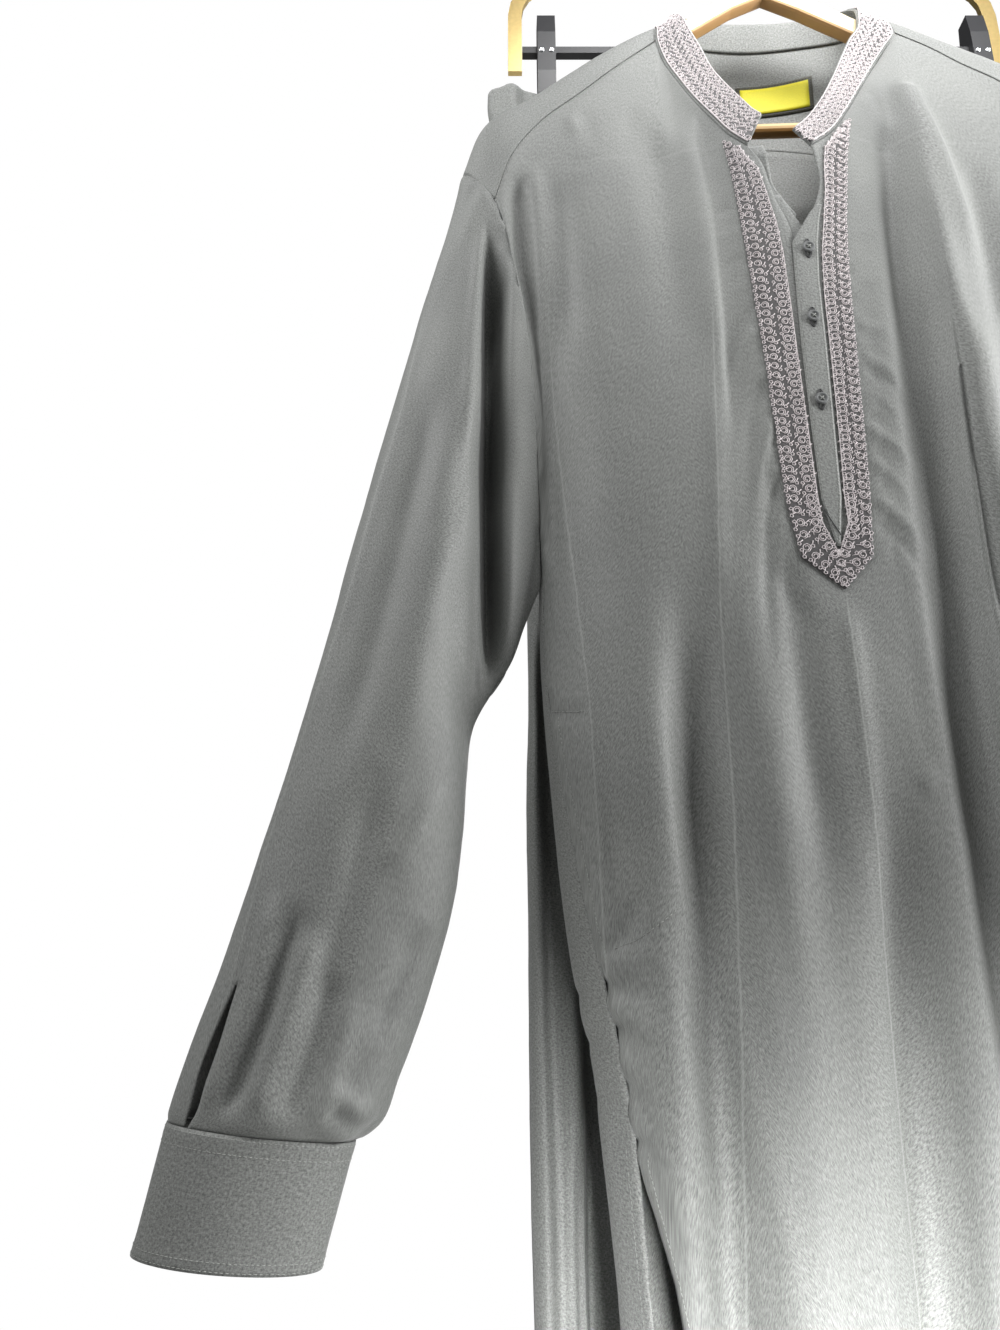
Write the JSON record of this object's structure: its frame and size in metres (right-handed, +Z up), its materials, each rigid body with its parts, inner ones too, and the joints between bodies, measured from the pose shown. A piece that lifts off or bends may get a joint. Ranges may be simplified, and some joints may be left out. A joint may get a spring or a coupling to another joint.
{
  "type": "shalwar kameez on hangers",
  "caption": "Long shirt with an embroidered band collar and placket on a wooden hanger, its wide trousers behind it on a gold clip hanger",
  "frame": {"origin": "inside top of the wooden hanger's hook, where it hangs on its rail", "axes": "+Z up, -Y out of the front of the kameez, +X to the right of a viewer who faces the front"},
  "size_m": [0.665, 0.1754, 1.3378],
  "materials": {
    "cloth": "grey-green fine plain weave with a slight sheen",
    "embroidery": "pale pink-grey thread on a dark ground",
    "label": "yellow woven satin, left blank",
    "button": "grey, in the cloth's tone",
    "wood": "pale clear-lacquered wood",
    "rod": "warm brown lacquered rod",
    "steel": "plated wire",
    "gold": "gold-coloured metal",
    "clip": "black"
  },
  "bodies": {
    "root": {"kameez_front": "cloth", "kameez_back": "cloth", "yoke": "cloth", "sleeve_left": "cloth", "sleeve_right": "cloth", "cuff_left": "cloth", "cuff_right": "cloth", "collar_band": "cloth", "placket_overlap": "cloth", "placket_underlap": "cloth", "placket_embroidery": "embroidery", "collar_embroidery": "embroidery", "button_top": "button", "button_middle": "button", "button_lower": "button", "pocket_bag_left": "cloth", "pocket_bag_right": "cloth", "neck_label": "label", "shalwar_leg_left": "cloth", "shalwar_leg_right": "cloth", "shalwar_waistband": "cloth", "hanger_arms": "wood", "hanger_bar": "rod", "hanger_hook": "steel", "clip_hanger_frame": "gold", "clip_hanger_hook": "gold", "clip_hanger_bar": "clip", "clip_left": "clip", "clip_right": "clip"}
  },
  "joints": []
}
